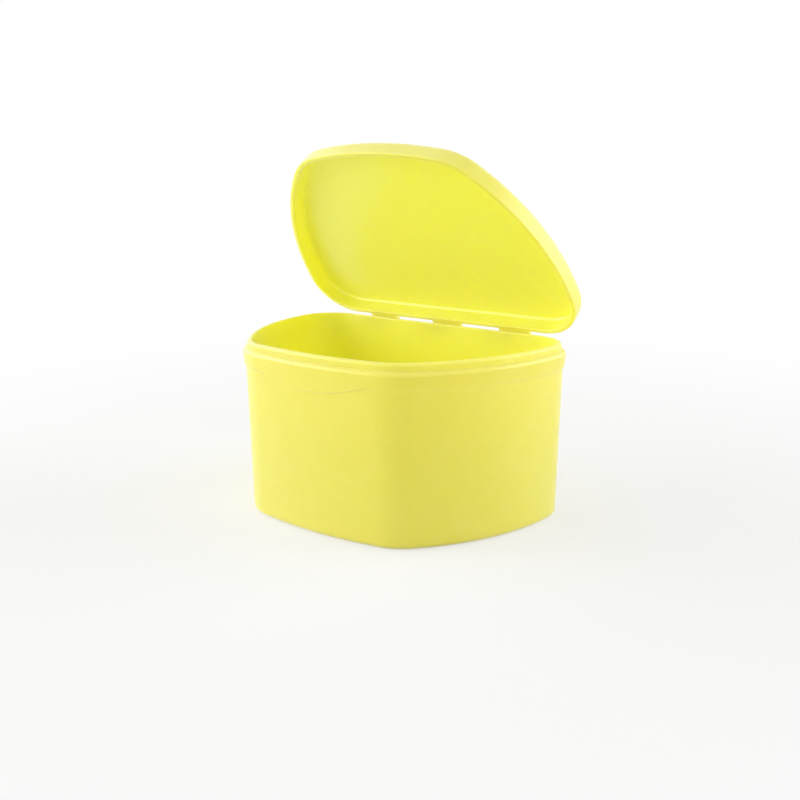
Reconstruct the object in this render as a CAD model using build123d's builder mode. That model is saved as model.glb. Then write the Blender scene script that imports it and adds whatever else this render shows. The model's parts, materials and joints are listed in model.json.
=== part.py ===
"""Hinged denture case: a tapered D-shaped tub, a shallow lid that snaps over its lip,
and three hinge straps along the straight rear side.

Frame: millimetres, +Z up. The origin is on the underside of the tub, at the middle of
the case's outline. -Y is the rounded front, +Y is the hinge side. The lid stands open.
"""
import os
from math import asin, atan2, cos, degrees, hypot, radians, sin, sqrt

from build123d import *

# ---- outline of the case, seen from above (the lid's outer wall) ----
case_width = 96.0  # across the sides, X
case_depth = 64.0  # from the front to the hinge side, Y
front_radius = 112.0  # the gently bowed front
front_corner_radius = 17.0
front_corner_x = 17.9  # centre of a front corner, out from the middle
side_radius = 65.0  # the bowed sides
rear_corner_radius = 13.3

# ---- tub ----
tub_height = 50.2  # up to the top of the lip
floor_thickness = 1.5
wall_thickness = 1.3
base_inset = 1.85  # outline to the outside of the wall, at the underside
wall_inset = 1.0  # the same, just under the collar
base_edge_radius = 1.8
cavity_edge_radius = 4.0

# ---- lip that the lid closes over ----
lip_height = 2.1  # above the seat
lip_thickness = 1.35
lip_outer_radius = 0.8
lip_inner_radius = 0.35

# ---- collar under the lip ----
collar_inset_top = 0.2
collar_inset_bottom = 0.45
collar_height = 4.2  # straight face, under the seat
collar_slope = 1.3  # height of the slope that blends it into the wall
collar_edge_radius = 1.2

# ---- thumb pad: the collar dips into a crescent at the front ----
pad_drop = 2.65  # below the collar's lower line
pad_half_width = 15.4
pad_inset = 0.6  # outline to the pad's face, at its lowest point
pad_bevel = 25.0  # degrees, slope of the pad's lower edge

# ---- lid ----
lid_height = 6.3
lid_wall = 1.3
lid_panel = 1.3
lid_top_radius = 2.7
lid_recess_radius = 1.5
lid_rim_radius = 0.3
lid_clearance = 0.2  # skirt to lip, all round
seat_clearance = 0.1  # skirt to seat, when closed
lid_open = 53.2  # degrees from closed

# ---- living hinge: three straps, each leaf to leaf with a thin web between ----
strap_count = 3
strap_width = 10.4
strap_spacing = 24.3
hinge_reach = 2.5  # outline to the hinge axis
leaf_thickness = 0.9
web_radius = 0.3
web_clearance = 0.05  # web to the lid's leaf
leaf_end_gap = 0.1  # hinge axis to the end of the lid's leaf
land_margin = 0.6  # the land on the tub stands out this far round a strap

# ---- heights that follow from the sizes above ----
seat_height = tub_height - lip_height
parting_height = seat_height + seat_clearance
collar_bottom = seat_height - collar_height
wall_top = collar_bottom - collar_slope
lip_inset = lid_wall + lid_clearance
cavity_inset_top = lip_inset + lip_thickness
cavity_inset_floor = base_inset + wall_thickness
hinge_y = case_depth / 2 + hinge_reach
strap_row = strap_spacing * (strap_count - 1) / 2
strap_centres = [index * strap_spacing - strap_row for index in range(strap_count)]


def direction(start, end):
    """Angle in degrees of the line from one point to another."""
    return degrees(atan2(end[1] - start[1], end[0] - start[0]))


# ---- centres of the outline's arcs, each tangent to the next ----
front_centre = (0.0, front_radius - case_depth / 2)
front_turn = degrees(asin(front_corner_x / (front_radius - front_corner_radius)))
front_corner = (
    front_corner_x,
    front_centre[1] - (front_radius - front_corner_radius) * cos(radians(front_turn)),
)
rear_corner = (case_width / 2 - rear_corner_radius, case_depth / 2 - rear_corner_radius)

# the side arc's centre is a known distance from both corner centres
from_front = side_radius - front_corner_radius
from_rear = side_radius - rear_corner_radius
corner_gap = hypot(rear_corner[0] - front_corner[0], rear_corner[1] - front_corner[1])
along = (from_front**2 - from_rear**2 + corner_gap**2) / (2 * corner_gap)
aside = sqrt(from_front**2 - along**2)
unit_x = (rear_corner[0] - front_corner[0]) / corner_gap
unit_y = (rear_corner[1] - front_corner[1]) / corner_gap
side_centre = (
    front_corner[0] + along * unit_x - aside * unit_y,
    front_corner[1] + along * unit_y + aside * unit_x,
)

front_start = -90.0
corner_start = front_start + front_turn
side_start = direction(side_centre, front_corner)
rear_start = direction(side_centre, rear_corner)


def outline(inset):
    """The case's outline, moved inwards by inset, as a face on the XY plane."""
    arcs = [
        (front_centre, front_radius, front_start, corner_start),
        (front_corner, front_corner_radius, corner_start, side_start),
        (side_centre, side_radius, side_start, rear_start),
        (rear_corner, rear_corner_radius, rear_start, 90.0),
    ]
    rear_y = case_depth / 2 - inset
    with BuildSketch() as face:
        with BuildLine():
            for centre, radius, start, end in arcs:
                CenterArc(centre, radius - inset, start, end - start)
            Line((rear_corner[0], rear_y), (0, rear_y))
            mirror(about=Plane.YZ)
        make_face()
    return face.sketch


def stack(levels, mode=Mode.ADD):
    """A solid through outlines at several heights, given as (height, inset)."""
    sections = [outline(inset).moved(Location((0, 0, height))) for height, inset in levels]
    loft(sections, ruled=True, mode=mode)


# ---- tub ----
pad_radius = (pad_half_width**2 + pad_drop**2) / (2 * pad_drop)
pad_line = collar_bottom - collar_slope / 2  # the collar's lower line, as it is seen
pad_bottom = pad_line - pad_drop
pad_face = case_depth / 2 - collar_inset_bottom  # how far forward the pad stands

# a slab of the collar's own outline, cut to a wide arc that is bevelled towards the front
with BuildPart() as thumb_pad:
    stack([(pad_bottom - collar_slope, pad_inset), (collar_bottom, collar_inset_bottom)])
    with BuildSketch(Plane.XZ.offset(pad_face)):
        with Locations((0, pad_bottom + pad_radius)):
            Circle(pad_radius)
    extrude(amount=-case_depth / 4, taper=-pad_bevel, mode=Mode.INTERSECT)

with BuildPart() as tub:
    stack([(0, base_inset), (wall_top, wall_inset)])
    fillet(tub.faces().sort_by(Axis.Z)[0].edges(), radius=base_edge_radius)
    stack([
        (wall_top, wall_inset),
        (collar_bottom, collar_inset_bottom),
        (seat_height, collar_inset_top),
    ])
    add(thumb_pad.part)
    shoulder = lip_inset - collar_inset_top  # the collar stands this far outside the lip
    collar_top = tub.faces().sort_by(Axis.Z)[-1]
    fillet(collar_top.edges(), radius=min(collar_edge_radius, 0.95 * shoulder))
    with BuildSketch(Plane.XY.offset(seat_height)):
        add(outline(lip_inset))
    extrude(amount=lip_height)
    land_width = strap_width + 2 * land_margin
    land_height = leaf_thickness + land_margin
    for centre in strap_centres:
        with Locations((centre, case_depth / 2, seat_height)):
            Box(
                land_width, lip_inset, land_height,
                align=(Align.CENTER, Align.MAX, Align.MAX),
            )
    stack([(floor_thickness, cavity_inset_floor), (tub_height, cavity_inset_top)], Mode.SUBTRACT)
    cavity_floor = tub.faces().filter_by(Plane.XY).filter_by_position(
        Axis.Z, floor_thickness - 0.01, floor_thickness + 0.01
    )
    fillet(cavity_floor.edges(), radius=cavity_edge_radius)
    lip_top = tub.faces().sort_by(Axis.Z)[-1]
    fillet(lip_top.outer_wire().edges(), radius=min(lip_outer_radius, 0.6 * lip_thickness))
    lip_top = tub.faces().sort_by(Axis.Z)[-1]
    fillet(lip_top.inner_wires()[0].edges(), radius=min(lip_inner_radius, 0.3 * lip_thickness))

# ---- lid, on a plane that is the parting plane turned about the hinge axis ----
turn = radians(lid_open)
lid_plane = Plane(
    origin=(0, hinge_y - hinge_y * cos(turn), parting_height + hinge_y * sin(turn)),
    x_dir=(1, 0, 0),
    z_dir=(0, sin(turn), cos(turn)),
)
lid_axis = Axis((0, 0, 0), lid_plane.z_dir)

with BuildPart() as lid:
    with BuildSketch(lid_plane):
        add(outline(0))
    extrude(amount=lid_height)
    fillet(lid.faces().sort_by(lid_axis)[-1].edges(), radius=lid_top_radius)
    with BuildSketch(lid_plane):
        add(outline(lid_wall))
    extrude(amount=lid_height - lid_panel, mode=Mode.SUBTRACT)
    recess = lid.faces().filter_by(lid_plane).sort_by(lid_axis)[-2]
    fillet(recess.edges(), radius=lid_recess_radius)
    rim = lid.faces().sort_by(lid_axis)[0]
    fillet(rim.edges(), radius=lid_rim_radius)

    # the lid's half of each strap, with a hollow end that turns round the web
    leaf_length = hinge_reach + lid_wall / 2 - leaf_end_gap
    for centre in strap_centres:
        with BuildSketch(lid_plane):
            with Locations((centre, hinge_y - leaf_end_gap)):
                Rectangle(strap_width, leaf_length, align=(Align.CENTER, Align.MAX))
        extrude(amount=leaf_thickness)
        with BuildSketch(Plane.YZ.offset(centre - strap_width / 2)):
            with Locations((hinge_y, parting_height)):
                Circle(web_radius + web_clearance)
        extrude(amount=strap_width, mode=Mode.SUBTRACT)

# ---- hinge straps: the tub's half of each, ending in the round web ----
strap_names = [f"hinge_strap_{index + 1}" for index in range(strap_count)]
straps = []
for name, centre in zip(strap_names, strap_centres):
    with BuildPart() as strap:
        with BuildSketch(Plane.XY.offset(seat_height)):
            with Locations((centre, case_depth / 2)):
                Rectangle(strap_width, hinge_reach, align=(Align.CENTER, Align.MIN))
        extrude(amount=-leaf_thickness)
        with BuildSketch(Plane.YZ.offset(centre - strap_width / 2)):
            with Locations((hinge_y, parting_height)):
                Circle(web_radius)
        extrude(amount=strap_width)
    strap.part.label = name
    straps.append(strap)

tub.part.label = "tub"
lid.part.label = "lid"

os.makedirs("parts", exist_ok=True)
for piece in [tub, lid, *straps]:
    export_step(piece.part, f"parts/{piece.part.label}.step")
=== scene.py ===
# %% [markdown]
# # A hinged denture case
# The case is a deep tub and a shallow lid, moulded together in one lemon-yellow plastic and
# joined at the back by three short films that bend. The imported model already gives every
# rigid piece its true size and place, in metres. So this lesson is about the rest: the films,
# which have to flex, the skin of a moulded plastic, and a soft studio that shows it.

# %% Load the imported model
import json
import math

import bmesh
import bpy
from mathutils import Euler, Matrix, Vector


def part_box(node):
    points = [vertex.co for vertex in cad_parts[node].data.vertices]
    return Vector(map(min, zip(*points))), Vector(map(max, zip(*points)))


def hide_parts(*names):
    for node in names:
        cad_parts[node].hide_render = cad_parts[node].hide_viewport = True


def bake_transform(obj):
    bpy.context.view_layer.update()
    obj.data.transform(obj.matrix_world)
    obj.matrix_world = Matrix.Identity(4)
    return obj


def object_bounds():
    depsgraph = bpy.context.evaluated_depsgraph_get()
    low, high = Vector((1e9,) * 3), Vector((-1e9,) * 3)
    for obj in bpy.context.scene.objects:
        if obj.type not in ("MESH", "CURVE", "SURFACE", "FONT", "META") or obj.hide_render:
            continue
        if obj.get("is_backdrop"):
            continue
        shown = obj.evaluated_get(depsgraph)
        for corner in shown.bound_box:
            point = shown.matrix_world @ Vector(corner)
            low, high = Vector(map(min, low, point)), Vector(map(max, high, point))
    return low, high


MM = 0.001

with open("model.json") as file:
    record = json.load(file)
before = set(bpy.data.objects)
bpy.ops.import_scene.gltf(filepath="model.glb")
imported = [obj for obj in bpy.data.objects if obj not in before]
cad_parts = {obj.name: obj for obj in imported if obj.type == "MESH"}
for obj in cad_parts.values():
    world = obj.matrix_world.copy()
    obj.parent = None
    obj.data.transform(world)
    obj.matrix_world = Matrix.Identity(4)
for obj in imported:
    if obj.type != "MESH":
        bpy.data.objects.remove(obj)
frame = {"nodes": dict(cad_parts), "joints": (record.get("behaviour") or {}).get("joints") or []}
cad_low, cad_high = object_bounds()
tub = frame["nodes"]["tub"]
lid = frame["nodes"]["lid"]
case_size = [round((high - low) / MM, 1) for low, high in zip(cad_low, cad_high)]
print("pieces in the frame:", sorted(frame["nodes"]))
print("the open case is", case_size, "mm")

# %% [markdown]
# ## The camera
# A lens of about 46 mm stands some thirty centimetres away, a little above the tub's rim, and
# is turned towards one front corner. From there the eye looks over the lip into the tub and up
# at the inside of the lid. Nothing is shifted or blurred, so other views use the same lens.

# %% Camera
CAMERA_PLACE = Vector((0.1784, -0.2269, 0.1026))
CAMERA_TURN = Euler((math.radians(76.228), math.radians(0.185), math.radians(37.017)))
CAMERA_LENS = 46.18
NEAREST_SEEN = 10 * MM

bpy.ops.object.camera_add(location=CAMERA_PLACE, rotation=CAMERA_TURN)
camera = bpy.context.object
camera.name = "camera"
camera.data.lens = CAMERA_LENS
camera.data.clip_start = NEAREST_SEEN
bpy.context.scene.camera = camera
print("the camera stands", round(CAMERA_PLACE.length / MM), "mm from the origin")

# %% [markdown]
# ## Where a film bends
# A living hinge is one skin of plastic that runs from the tub's leaf, round the hinge axis and
# into the lid's leaf. We read the axis and the lid's resting angle from the model, so that the
# film sits exactly where the lid turns. Two directions are enough to draw its path: along the
# tub's leaf, and along the lid's leaf as it stands at rest.

# %% Measure the hinge
hinge = frame["joints"][0]
AXIS = Vector(hinge["pos_m"])
OPENING = math.radians(-hinge["range_deg"][0])
leaf_low, leaf_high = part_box("hinge_strap_2")
LEAF_WIDTH = leaf_high.x - leaf_low.x
LID_WAY = Vector((0, -math.cos(OPENING), math.sin(OPENING)))
print("hinge axis at", [round(value / MM, 1) for value in AXIS], "mm")
print("the lid rests open by", round(math.degrees(OPENING), 1), "degrees")
print("a leaf is", round(LEAF_WIDTH / MM, 1), "mm wide")

# %% [markdown]
# ## Working in edit mode from code
# An operator acts on whatever is selected, so each step first says which piece is being edited
# and which of its faces or edges are meant. The helpers below do only that: one opens a piece
# for editing with nothing selected, and one picks the faces or edges that pass a test. A face
# counts as pointing along an axis when its normal, one long, has over 0.9 of it that way.

# %% Helpers for editing
POINTS_THAT_WAY = 0.9


def open_piece(piece):
    bpy.ops.object.select_all(action="DESELECT")
    piece.select_set(True)
    bpy.context.view_layer.objects.active = piece
    bpy.ops.object.mode_set(mode="EDIT")
    bpy.ops.mesh.select_all(action="DESELECT")


def pick(piece, kind, wanted):
    bpy.ops.mesh.select_mode(type=kind)
    mesh = bmesh.from_edit_mesh(piece.data)
    choices = {"FACE": mesh.faces, "EDGE": mesh.edges}[kind]
    for choice in choices:
        choice.select_set(wanted(choice))
    bmesh.update_edit_mesh(piece.data)
    return sum(choice.select for choice in choices)


# %% [markdown]
# ## A hinge film
# The film could be a bent sheet with a Solidify modifier, but its thickness changes: the leaf
# is nearly a millimetre thick, and the film less than half of that. So it is drawn as a solid
# and pulled along its path. A block makes the tub's leaf. Its end face is extruded in small
# moves and squeezed each time towards the leaf's top, which gives the hollow taper of a real
# hinge. The same face is then spun round the axis, and pulled into the lid's leaf.

# %% Tub's leaf of the middle film
# Each pair is how far along the taper, and the thickness that is left there, in millimetres.
TAPER = [(0.15, 0.68), (0.3, 0.54), (0.5, 0.45), (0.75, 0.4)]
LEAF_ROOT = 0.1 * MM
LEAF_DROP = 0.1 * MM

taper_length = TAPER[-1][0] * MM
leaf_top = AXIS.z - LEAF_DROP
leaf_front = leaf_low.y - LEAF_ROOT
leaf_back = AXIS.y - taper_length
leaf_height = leaf_top - leaf_low.z
bpy.ops.object.select_all(action="DESELECT")
bpy.ops.mesh.primitive_cube_add(
    size=1,
    location=(0, (leaf_front + leaf_back) / 2, leaf_top - leaf_height / 2),
    scale=(LEAF_WIDTH, leaf_back - leaf_front, leaf_height),
)
film = bpy.context.object
film.name = "hinge_film_2"
bpy.ops.object.transform_apply(location=True, rotation=True, scale=True)
print("the tub's leaf is", round(leaf_height / MM, 2), "mm thick")

# %% Taper down to the film
open_piece(film)
end_faces = pick(film, "FACE", lambda face: face.normal.y > POINTS_THAT_WAY)
done = 0
thickness = leaf_height
for along, left in TAPER:
    bpy.ops.mesh.extrude_region_move(
        TRANSFORM_OT_translate={"value": (0, (along - done) * MM, 0)}
    )
    bpy.ops.transform.resize(
        value=(1, 1, left * MM / thickness), center_override=(0, AXIS.y, leaf_top)
    )
    done = along
    thickness = left * MM
print("extruded from", end_faces, "face, down to", round(thickness / MM, 2), "mm thick")

# %% Spin the film round the axis and into the lid's leaf
BEND_STEPS = 12
LID_LEAF_MOVES = 3
LID_LEAF_MOVE = 0.35 * MM

bpy.ops.mesh.spin(
    steps=BEND_STEPS, angle=math.pi - OPENING, center=AXIS, axis=(-1, 0, 0)
)
for _ in range(LID_LEAF_MOVES):
    bpy.ops.mesh.extrude_region_move(
        TRANSFORM_OT_translate={"value": LID_WAY * LID_LEAF_MOVE}
    )
bpy.ops.object.mode_set(mode="OBJECT")
highest = max(vertex.co.z for vertex in film.data.vertices)
print("the film ends", round((highest - AXIS.z) / MM, 2), "mm above the axis, in the lid's leaf")

# %% [markdown]
# ## Rounded sides and a smooth bend
# Nothing that comes out of a mould has a knife edge, so the film's sides get a small bevel.
# The edges meant are those with exactly one face that looks sideways: the edges that cross a
# side have two. Shading is smooth by angle, so the bend is soft and the sides stay crisp.

# %% Finish the middle film
EDGE_ROUNDING = 0.12 * MM
EDGE_SEGMENTS = 2
SMOOTH_ANGLE = math.radians(35)


def borders_a_side(edge):
    sideways = sum(abs(face.normal.x) > POINTS_THAT_WAY for face in edge.link_faces)
    return sideways == 1


open_piece(film)
rounded = pick(film, "EDGE", borders_a_side)
bpy.ops.mesh.bevel(offset=EDGE_ROUNDING, segments=EDGE_SEGMENTS, affect="EDGES")
bpy.ops.mesh.select_all(action="SELECT")
bpy.ops.mesh.normals_make_consistent(inside=False)
bpy.ops.object.mode_set(mode="OBJECT")
bpy.ops.object.shade_smooth_by_angle(angle=SMOOTH_ANGLE)
print(rounded, "edges rounded, and the film now has", len(film.data.polygons), "faces")

# %% [markdown]
# ## Three films from one
# The outer films are duplicates with a mesh of their own, moved by the distance between the
# leaves of the model.

films = {"hinge_strap_2": film}
for node in ("hinge_strap_1", "hinge_strap_3"):
    low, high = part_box(node)
    bpy.ops.object.select_all(action="DESELECT")
    film.select_set(True)
    bpy.context.view_layer.objects.active = film
    bpy.ops.object.duplicate(linked=False)
    bpy.ops.transform.translate(value=((low.x + high.x) / 2, 0, 0))
    bpy.ops.object.transform_apply(location=True, rotation=True, scale=True)
    films[node] = bpy.context.object
    films[node].name = node.replace("strap", "film")

for node, piece in films.items():
    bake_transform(piece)
    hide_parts(node)
print("films that flex:", sorted(piece.name for piece in films.values()))

# %% [markdown]
# ## The skin of a moulded plastic
# Polypropylene looks plain, yet a flat colour would look like paint. Light sinks into it, so
# it glows where the wall is thin. Its skin copies the mould: a fine satin grain, a faint wave
# where the wall shrank, and a gloss that drifts from place to place. Resin that cooled early
# leaves paler streaks that run away from the gate. Edges are painted pale and matt, partly
# where they are rubbed and partly as a painted highlight, and the hinge fold is painted pale,
# partly from whitening and partly as painted light.
# Each of these effects is a shader group with named sockets, built once and reused.

# %% Helpers for shader nodes
def new_group(name, takes, gives):
    group = bpy.data.node_groups.new(name, "ShaderNodeTree")
    for title, kind in takes:
        group.interface.new_socket(title, in_out="INPUT", socket_type="NodeSocket" + kind)
    for title, kind in gives:
        group.interface.new_socket(title, in_out="OUTPUT", socket_type="NodeSocket" + kind)
    given = group.nodes.new("NodeGroupInput").outputs
    result = group.nodes.new("NodeGroupOutput").inputs
    return group, given, result


def put(tree, kind, feeds, **settings):
    node = tree.nodes.new("ShaderNode" + kind)
    for name, value in settings.items():
        setattr(node, name, value)
    for socket, feed in feeds.items():
        if isinstance(feed, bpy.types.NodeSocket):
            tree.links.new(feed, node.inputs[socket])
        else:
            node.inputs[socket].default_value = feed
    return node


def math_of(tree, operation, *feeds):
    return put(tree, "Math", dict(enumerate(feeds)), operation=operation).outputs[0]


def vector_of(tree, operation, *feeds, output="Vector"):
    node = put(tree, "VectorMath", dict(enumerate(feeds)), operation=operation)
    return node.outputs[output]


def placed(tree, group, feeds):
    return put(tree, "Group", feeds, node_tree=group)


# %% [markdown]
# ### Grain, wave and gloss
# The grain is a tenth of a millimetre across, too fine to see as bumps, but it softens every
# reflection. The wave is a few millimetres long and gives highlights their slight wobble. The
# heights are true metres, so the Bump node can stay at a distance of one metre. A third, slow
# noise moves the roughness, because no mould is polished evenly.

# %% Group: moulded skin
skin, given, result = new_group(
    "moulded_skin",
    [
        ("Place", "Vector"), ("Grain Size", "Float"), ("Grain Height", "Float"),
        ("Wave Size", "Float"), ("Wave Height", "Float"),
        ("Roughness", "Float"), ("Roughness Drift", "Float"),
    ],
    [("Height", "Float"), ("Roughness", "Float")],
)
DRIFT_SIZE = 14 * MM
GRAIN_DETAIL = 1.0
WAVE_DETAIL = 1.5
DRIFT_DETAIL = 3.0
NOISE_MEAN = 0.5


def noise_about_zero(tree, place, size, detail):
    scale = math_of(tree, "DIVIDE", 1.0, size)
    noise = put(tree, "TexNoise", {"Vector": place, "Scale": scale, "Detail": detail})
    return math_of(tree, "SUBTRACT", noise.outputs["Fac"], NOISE_MEAN)


grain = noise_about_zero(skin, given["Place"], given["Grain Size"], GRAIN_DETAIL)
wave = noise_about_zero(skin, given["Place"], given["Wave Size"], WAVE_DETAIL)
drift = noise_about_zero(skin, given["Place"], DRIFT_SIZE, DRIFT_DETAIL)
grain_height = math_of(skin, "MULTIPLY", grain, given["Grain Height"])
wave_height = math_of(skin, "MULTIPLY", wave, given["Wave Height"])
skin.links.new(math_of(skin, "ADD", grain_height, wave_height), result["Height"])
drifted = math_of(
    skin, "MULTIPLY_ADD", drift, given["Roughness Drift"], given["Roughness"]
)
skin.links.new(drifted, result["Roughness"])
print("moulded_skin has", len(skin.nodes), "nodes")

# %% [markdown]
# ### Streaks from the gate
# Molten resin enters through one gate, in the middle of the tub's underside and of the lid's
# panel, and spreads in all directions. A noise read along the direction from the gate, and
# only slowly with distance, makes streaks that fan out just as the resin did.

# %% Group: flow streaks
streaks, given, result = new_group(
    "flow_streaks", [("Place", "Vector"), ("Gate", "Vector")], [("Mask", "Float")]
)
STREAKS_AROUND = 3.2
STREAK_DRIFT = 28.0
STREAK_FINENESS = 1.6
STREAK_DETAIL = 3.0
STREAK_STARTS = 0.4
STREAK_FULL = 0.7

away = vector_of(streaks, "SUBTRACT", given["Place"], given["Gate"])
way = vector_of(streaks, "NORMALIZE", away)
fan = put(streaks, "VectorMath", {0: way, "Scale": STREAKS_AROUND}, operation="SCALE")
slow = put(streaks, "VectorMath", {0: away, "Scale": STREAK_DRIFT}, operation="SCALE")
read_at = vector_of(streaks, "ADD", fan.outputs["Vector"], slow.outputs["Vector"])
flow = put(
    streaks, "TexNoise",
    {"Vector": read_at, "Scale": STREAK_FINENESS, "Detail": STREAK_DETAIL},
)
soft = put(
    streaks, "MapRange",
    {"Value": flow.outputs["Fac"], "From Min": STREAK_STARTS, "From Max": STREAK_FULL},
    interpolation_type="SMOOTHSTEP",
)
streaks.links.new(soft.outputs["Result"], result["Mask"])
print("flow_streaks has", len(streaks.nodes), "nodes")

# %% [markdown]
# ### Rubbed and highlit edges
# A Bevel node returns the normal an edge would have if it were rounded. The two normals are
# compared: a likeness of one is flat wall, and a lower one means that an edge is near. Broken
# up by a noise, the mask makes edges pale and matt: partly wear where fingers and shelves have
# rubbed the plastic, partly a painted highlight along the edges.

# %% Group: rubbed edges
rub_and_highlight, given, result = new_group(
    "rubbed_and_highlit_edges",
    [("Place", "Vector"), ("Patch Size", "Float"), ("Amount", "Float")],
    [("Mask", "Float")],
)
RUB_AND_HIGHLIGHT_WIDTH = 0.5 * MM
RUB_AND_HIGHLIGHT_SAMPLES = 4
FLAT_LIKENESS = 0.995
EDGE_LIKENESS = 0.85
PATCH_DETAIL = 3.0
PATCH_CONTRAST = 1.6
PATCH_LEVEL = 0.6

# Painted highlight: this edge mask pales every edge, partly as rubbed wear.
rounded_off = put(rub_and_highlight, "Bevel", {"Radius": RUB_AND_HIGHLIGHT_WIDTH}, samples=RUB_AND_HIGHLIGHT_SAMPLES)
surface = put(rub_and_highlight, "NewGeometry", {})
likeness = vector_of(
    rub_and_highlight, "DOT_PRODUCT", rounded_off.outputs["Normal"], surface.outputs["Normal"], output="Value"
)
edge = put(
    rub_and_highlight, "MapRange",
    {"Value": likeness, "From Min": FLAT_LIKENESS, "From Max": EDGE_LIKENESS},
).outputs["Result"]
patches = noise_about_zero(rub_and_highlight, given["Place"], given["Patch Size"], PATCH_DETAIL)
broken = math_of(rub_and_highlight, "MULTIPLY_ADD", patches, PATCH_CONTRAST, PATCH_LEVEL)
strength = math_of(rub_and_highlight, "MULTIPLY", broken, given["Amount"])
mask = put(rub_and_highlight, "Math", {0: edge, 1: strength}, operation="MULTIPLY", use_clamp=True)
rub_and_highlight.links.new(mask.outputs[0], result["Mask"])
print("rubbed_and_highlit_edges has", len(rub_and_highlight.nodes), "nodes")

# %% [markdown]
# ### Inside or outside
# The inner faces are shaped by a polished core, the outer ones by a cavity with a satin
# finish, so they differ in gloss. The inner faces are also painted a brighter yellow: painted
# light that stands in for the light bouncing round inside the hollow. To tell them apart, we
# compare a face's normal with the direction from a point in the middle of the hollow: inner
# faces look back at that point. Both are read in the piece's own coordinates, so the answer
# stays the same when the lid swings.

# %% Group: inner faces
inner, given, result = new_group(
    "inner_faces",
    [("Place", "Vector"), ("Facing", "Vector"), ("Middle", "Vector")],
    [("Mask", "Float")],
)
outward = vector_of(inner, "SUBTRACT", given["Place"], given["Middle"])
looks = vector_of(inner, "DOT_PRODUCT", outward, given["Facing"], output="Value")
inner.links.new(math_of(inner, "LESS_THAN", looks, 0.0), result["Mask"])
print("inner_faces has", len(inner.nodes), "nodes")

# %% [markdown]
# ### Pale where it bends
# Polypropylene that is folded again and again turns pale along the fold, because the bend
# opens tiny voids that scatter light. The fold is painted paler still: painted light that
# stands in for the light shining through the thin film into the shaded gap between lid and
# tub. The mask is strongest on the hinge axis and fades out over some 1.6 millimetres. Only
# distance across the axis counts, so the fold is pale from end to end, and a noise along it
# keeps it from being an even stripe.

# %% Group: pale fold
fold_whitening_and_light, given, result = new_group(
    "fold_whitening_and_painted_light",
    [("Place", "Vector"), ("Axis", "Vector"), ("Reach", "Float"), ("Amount", "Float")],
    [("Mask", "Float")],
)
FOLD_PATCH = 2 * MM
FOLD_DETAIL = 2.0

# Painted light: the fold mask pales the shaded hinge gap, partly as whitening from bending.
from_axis = vector_of(fold_whitening_and_light, "SUBTRACT", given["Place"], given["Axis"])
across = vector_of(fold_whitening_and_light, "MULTIPLY", from_axis, (0, 1, 1))
distance = vector_of(fold_whitening_and_light, "LENGTH", across, output="Value")
nearness = put(
    fold_whitening_and_light, "MapRange",
    {"Value": distance, "From Max": given["Reach"], "To Min": 1.0, "To Max": 0.0},
    interpolation_type="SMOOTHSTEP",
).outputs["Result"]
patches = noise_about_zero(fold_whitening_and_light, given["Place"], FOLD_PATCH, FOLD_DETAIL)
uneven = math_of(fold_whitening_and_light, "ADD", patches, 1.0)
strength = math_of(fold_whitening_and_light, "MULTIPLY", uneven, given["Amount"])
mask = math_of(fold_whitening_and_light, "MULTIPLY", nearness, strength)
fold_whitening_and_light.links.new(mask, result["Mask"])
print("fold_whitening_and_painted_light has", len(fold_whitening_and_light.nodes), "nodes")

# %% [markdown]
# ## Lemon-yellow polypropylene
# One recipe serves the tub, the lid and the films, so the three match as they do when they
# leave the same mould. What differs is where the gate and the hollow are. Subsurface
# scattering lets light travel some millimetres, further for red and green than for blue,
# which is why the walls glow and their shadows turn a deeper yellow. A little sheen pales the
# walls where they turn away from the eye, as the dusty skin of this plastic does.

# %% Values of the plastic
OUTER_YELLOW = (0.85, 0.762, 0.075, 1)
# Painted light: the inner faces' yellow is brighter than the outer one, standing in for light
# that bounces inside the hollow.
INNER_PAINTED_LIGHT_YELLOW = (0.98, 0.925, 0.09, 1)
PALE_YELLOW = (0.92, 0.86, 0.3, 1)
OUTER_ROUGHNESS = 0.4
INNER_ROUGHNESS = 0.34
ROUGHNESS_DRIFT = 0.15
GRAIN_SIZE = 0.12 * MM
GRAIN_HEIGHT = 0.004 * MM
WAVE_SIZE = 5 * MM
WAVE_HEIGHT = 0.008 * MM
STREAK_STRENGTH = 0.08
RUB_AND_HIGHLIGHT_PATCH = 3 * MM
RUB_AND_HIGHLIGHT_STRENGTH = 0.5
RUB_ROUGHNESS = 0.15
FOLD_REACH = 1.6 * MM
FOLD_WHITENING_AND_LIGHT_STRENGTH = 0.8
PLASTIC_IOR = 1.49
SKIN_GLOSS = 0.85
SHEEN = 0.45
SHEEN_ROUGHNESS = 0.5
GLOW_DEPTH = 5 * MM
GLOW_REACH_BY_COLOUR = (1.0, 0.97, 0.2)
print("red and green light travel about", round(GLOW_DEPTH / MM), "mm in the wall")

# %% Recipe for the plastic
# A Mix node keeps its colour sockets at numbers 6 and 7, and gives its colour at output 2.
def blended(tree, factor, first, second):
    node = put(tree, "Mix", {0: factor, 6: first, 7: second}, data_type="RGBA")
    return node.outputs[2]


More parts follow.
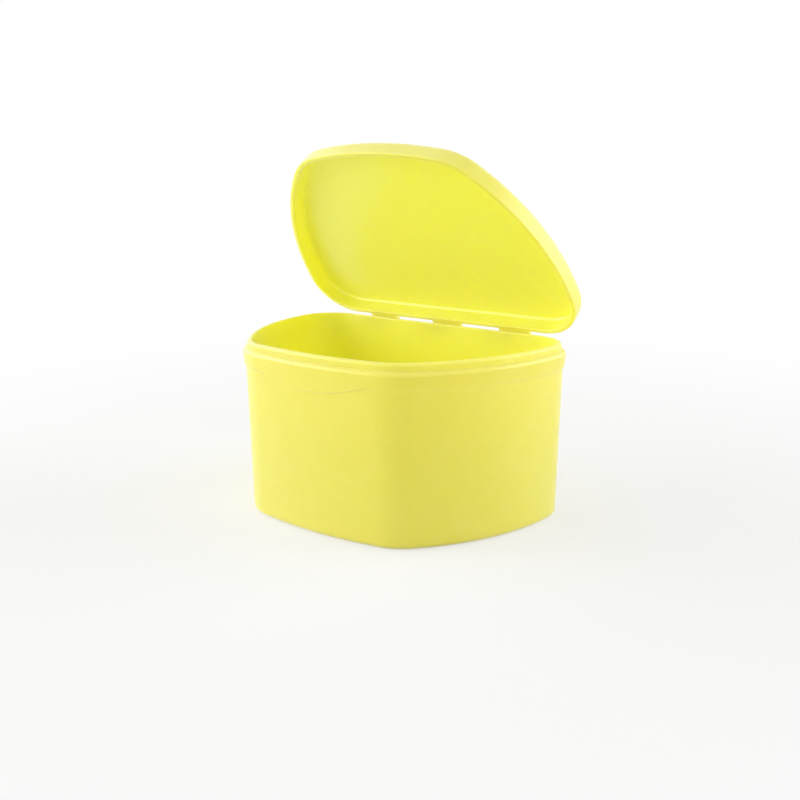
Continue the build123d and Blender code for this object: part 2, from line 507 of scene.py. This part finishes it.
def moulded_plastic(name, gate, middle):
    material = bpy.data.materials.new(name)
    material.use_nodes = True
    tree = material.node_tree
    shader = tree.nodes["Principled BSDF"]
    coords = put(tree, "TexCoord", {}).outputs
    place = coords["Object"]

    inside = placed(
        tree, inner, {"Place": place, "Facing": coords["Normal"], "Middle": middle}
    ).outputs["Mask"]
    streak = placed(tree, streaks, {"Place": place, "Gate": gate}).outputs["Mask"]
    # Edge mask: partly rubbed wear, partly a painted highlight along every edge.
    rubbed_and_highlit = placed(
        tree, rub_and_highlight, {"Place": place, "Patch Size": RUB_AND_HIGHLIGHT_PATCH, "Amount": RUB_AND_HIGHLIGHT_STRENGTH}
    ).outputs["Mask"]
    # Fold mask: partly whitening from bending, partly painted light in the shaded gap of the
    # hinge.
    fold_whitened_and_lit = placed(
        tree, fold_whitening_and_light,
        {"Place": place, "Axis": AXIS, "Reach": FOLD_REACH, "Amount": FOLD_WHITENING_AND_LIGHT_STRENGTH},
    ).outputs["Mask"]

    # Painted light: inner faces get the brighter yellow, for the light that bounces inside the
    # hollow.
    yellow = blended(tree, inside, OUTER_YELLOW, INNER_PAINTED_LIGHT_YELLOW)
    streak_share = math_of(tree, "MULTIPLY", streak, STREAK_STRENGTH)
    # Painted light and wear: edges and the fold are painted pale, partly from rubbing and
    # whitening, partly as painted highlight and painted light.
    worn_and_lit = math_of(tree, "MAXIMUM", rubbed_and_highlit, fold_whitened_and_lit)
    yellow = blended(tree, streak_share, yellow, PALE_YELLOW)
    yellow = blended(tree, worn_and_lit, yellow, PALE_YELLOW)
    tree.links.new(yellow, shader.inputs["Base Color"])

    satin = put(
        tree, "MapRange",
        {"Value": inside, "To Min": OUTER_ROUGHNESS, "To Max": INNER_ROUGHNESS},
    ).outputs["Result"]
    surface = placed(
        tree, skin,
        {
            "Place": place, "Grain Size": GRAIN_SIZE, "Grain Height": GRAIN_HEIGHT,
            "Wave Size": WAVE_SIZE, "Wave Height": WAVE_HEIGHT,
            "Roughness": satin, "Roughness Drift": ROUGHNESS_DRIFT,
        },
    ).outputs
    rough = math_of(tree, "MULTIPLY_ADD", rubbed_and_highlit, RUB_ROUGHNESS, surface["Roughness"])
    tree.links.new(rough, shader.inputs["Roughness"])
    bump = put(tree, "Bump", {"Height": surface["Height"], "Distance": 1.0})
    tree.links.new(bump.outputs["Normal"], shader.inputs["Normal"])

    shader.inputs["IOR"].default_value = PLASTIC_IOR
    shader.inputs["Specular IOR Level"].default_value = SKIN_GLOSS
    shader.inputs["Sheen Weight"].default_value = SHEEN
    shader.inputs["Sheen Roughness"].default_value = SHEEN_ROUGHNESS
    shader.inputs["Subsurface Weight"].default_value = 1.0
    shader.inputs["Subsurface Radius"].default_value = GLOW_REACH_BY_COLOUR
    shader.inputs["Subsurface Scale"].default_value = GLOW_DEPTH
    print(name, "has", len(tree.nodes), "nodes")
    return material


def paint(piece, material):
    piece.data.materials.clear()
    piece.data.materials.append(material)


# %% [markdown]
# ## Gates and hollows
# The tub's gate is the origin, in the middle of its underside. The lid's gate is in the middle
# of its outer panel, and the middle of its hollow lies a little below that panel. Both are
# measured from the hinge axis: along the lid, and square to it. The films have no gate of
# their own: their resin came through the tub.

# %% Paint the tub, the lid and the films
LID_MIDDLE = 34 * MM
LID_THICKNESS = 6.3 * MM
LID_HOLLOW = 2.5 * MM
TUB_GATE = Vector((0, 0, 0))

tub_low, tub_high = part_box("tub")
tub_middle = (tub_low + tub_high) / 2
lid_outward = Vector((0, math.sin(OPENING), math.cos(OPENING)))
lid_middle = AXIS + LID_WAY * LID_MIDDLE + lid_outward * LID_HOLLOW
lid_gate = AXIS + LID_WAY * LID_MIDDLE + lid_outward * LID_THICKNESS
paint(tub, moulded_plastic("tub_polypropylene", TUB_GATE, tub_middle))
paint(lid, moulded_plastic("lid_polypropylene", lid_gate, lid_middle))
film_plastic = moulded_plastic("film_polypropylene", TUB_GATE, tub_middle)
for piece in films.values():
    paint(piece, film_plastic)
print("the lid's gate is", round((lid_gate.z - AXIS.z) / MM), "mm above the hinge")

# %% [markdown]
# ## Only the rays that the eye follows
# A background has to be white to the eye, but a white room would also light the case from
# every side and flatten it. Blender tells a material which ray has reached it. Rays from the
# camera, and those that have bounced off a mirror or passed through glass, are the ones that
# the eye follows. A mask of them lets the background be white to the eye and calm as a light.

# %% Helper: followed rays
def followed_rays(tree):
    path = put(tree, "LightPath", {}).outputs
    straight_or_mirrored = math_of(
        tree, "MAXIMUM", path["Is Camera Ray"], path["Is Glossy Ray"]
    )
    return math_of(tree, "MAXIMUM", straight_or_mirrored, path["Is Transmission Ray"])


# %% [markdown]
# ## The floor
# The case stands on a plain white floor that runs into the background without an edge, and
# yet keeps the soft shadow that makes the case stand. So the material mixes two shaders: a
# matt white that takes light and shadow, and a white glow that shows only to followed rays.
# Near the case each has about half a share; further out the glow takes over. The floor lies a
# twentieth of a millimetre low, so that it never flickers against the underside of the tub.

# %% Floor
FLOOR_SIZE = 12
FLOOR_DROP = 0.05 * MM
FLOOR_WHITE = (0.9, 0.9, 0.9, 1)
FLOOR_ROUGHNESS = 0.9
SHADOW_REACH = 80 * MM
GLOW_REACH = 350 * MM
GLOW_SHARE_NEAR = 0.55

bpy.ops.object.select_all(action="DESELECT")
bpy.ops.mesh.primitive_plane_add(size=FLOOR_SIZE, location=(0, 0, -FLOOR_DROP))
floor = bpy.context.object
floor.name = "floor"
bpy.ops.object.transform_apply(location=True, rotation=True, scale=True)

floor_white = bpy.data.materials.new("floor_white")
floor_white.use_nodes = True
tree = floor_white.node_tree
matt = tree.nodes["Principled BSDF"]
matt.inputs["Base Color"].default_value = FLOOR_WHITE
matt.inputs["Roughness"].default_value = FLOOR_ROUGHNESS
matt.inputs["Specular IOR Level"].default_value = 0
glow = put(tree, "Emission", {"Strength": 1.0})
from_case = vector_of(
    tree, "LENGTH", put(tree, "TexCoord", {}).outputs["Object"], output="Value"
)
share = put(
    tree, "MapRange",
    {
        "Value": from_case, "From Min": SHADOW_REACH, "From Max": GLOW_REACH,
        "To Min": GLOW_SHARE_NEAR, "To Max": 1.0,
    },
    interpolation_type="SMOOTHSTEP",
).outputs["Result"]
shown = math_of(tree, "MULTIPLY", followed_rays(tree), share)
mixed = put(
    tree, "MixShader", {0: shown, 1: matt.outputs["BSDF"], 2: glow.outputs["Emission"]}
)
tree.links.new(mixed.outputs["Shader"], tree.nodes["Material Output"].inputs["Surface"])
paint(floor, floor_white)
floor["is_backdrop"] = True
print("the floor is", FLOOR_SIZE, "m wide")

# %% [markdown]
# ## The room
# Followed rays see a white room. All others see a dim one, which stands for the light that
# comes back from pale walls and fills the shadows.

# %% Room
ROOM_FILL = 0.33

studio = bpy.data.worlds.new("studio")
bpy.context.scene.world = studio
studio.use_nodes = True
tree = studio.node_tree
room = tree.nodes["Background"]
room.inputs["Color"].default_value = (1, 1, 1, 1)
brightness = put(
    tree, "MapRange", {"Value": followed_rays(tree), "To Min": ROOM_FILL, "To Max": 1.0}
).outputs["Result"]
tree.links.new(brightness, room.inputs["Strength"])
print("the room fills the shadows at", ROOM_FILL)

# %% [markdown]
# ## Soft boxes
# A soft box is a lamp behind a large white cloth. The larger the cloth, the softer the edge of
# its shadow. Each box below is placed by a turn round the case and a height, both in degrees,
# and aimed at the middle of the open case. Its strength is given as the brightness of the
# cloth, because that is what a glossy wall mirrors: the power follows from the cloth's area.
# The strong boxes stand low at the left and behind the right side, so that the side walls are
# bright while the front corner, which faces neither, stays darker. A weak one to the right and
# one overhead open up the shadows in front of the lid and on the floor of the tub.

# %% Soft boxes
BOX_DISTANCE = 1.2
AIM = Vector((0, 0, 50 * MM))
CLOTH_WIDTH = 1.2
CLOTH_HEIGHT = 0.8
LOW = 18
RAISED = 25
OVERHEAD = 86


def soft_box(name, turn, height, brightness):
    around = math.radians(turn)
    above = math.radians(height)
    back = Vector((
        math.sin(around) * math.cos(above),
        -math.cos(around) * math.cos(above),
        math.sin(above),
    ))
    facing = (-back).to_track_quat("-Z", "Y").to_euler()
    bpy.ops.object.light_add(
        type="AREA", location=AIM + back * BOX_DISTANCE, rotation=facing
    )
    box = bpy.context.object
    box.name = name
    box.data.shape = "RECTANGLE"
    box.data.size = CLOTH_WIDTH
    box.data.size_y = CLOTH_HEIGHT
    box.data.energy = brightness * math.pi * CLOTH_WIDTH * CLOTH_HEIGHT
    box.visible_camera = False
    print(name, "gives", round(box.data.energy, 2), "watts")


soft_box("front_left_box", turn=-45, height=LOW, brightness=2.4)
soft_box("left_box", turn=-75, height=LOW, brightness=1.8)
soft_box("back_left_box", turn=-100, height=LOW, brightness=0.9)
soft_box("back_right_box", turn=135, height=LOW, brightness=3.1)
soft_box("right_box", turn=60, height=RAISED, brightness=0.7)
soft_box("top_box", turn=0, height=OVERHEAD, brightness=0.7)

# %% [markdown]
# ## Plain colours
# The Standard view writes a colour as the light and the material make it, with no film curve,
# so the yellow on the screen can be checked against the yellow that was mixed.

# %% View
bpy.context.scene.view_settings.view_transform = "Standard"
print("view:", bpy.context.scene.view_settings.view_transform)

# %% [markdown]
# ## A last measurement
# The films and finishes must not change the size of the case. The box round the imported model
# was printed at the start, and the box round the finished one is printed here.

# %% Print the finished size
low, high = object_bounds()
print("the finished case is", [round((b - a) / MM, 1) for a, b in zip(low, high)], "mm")
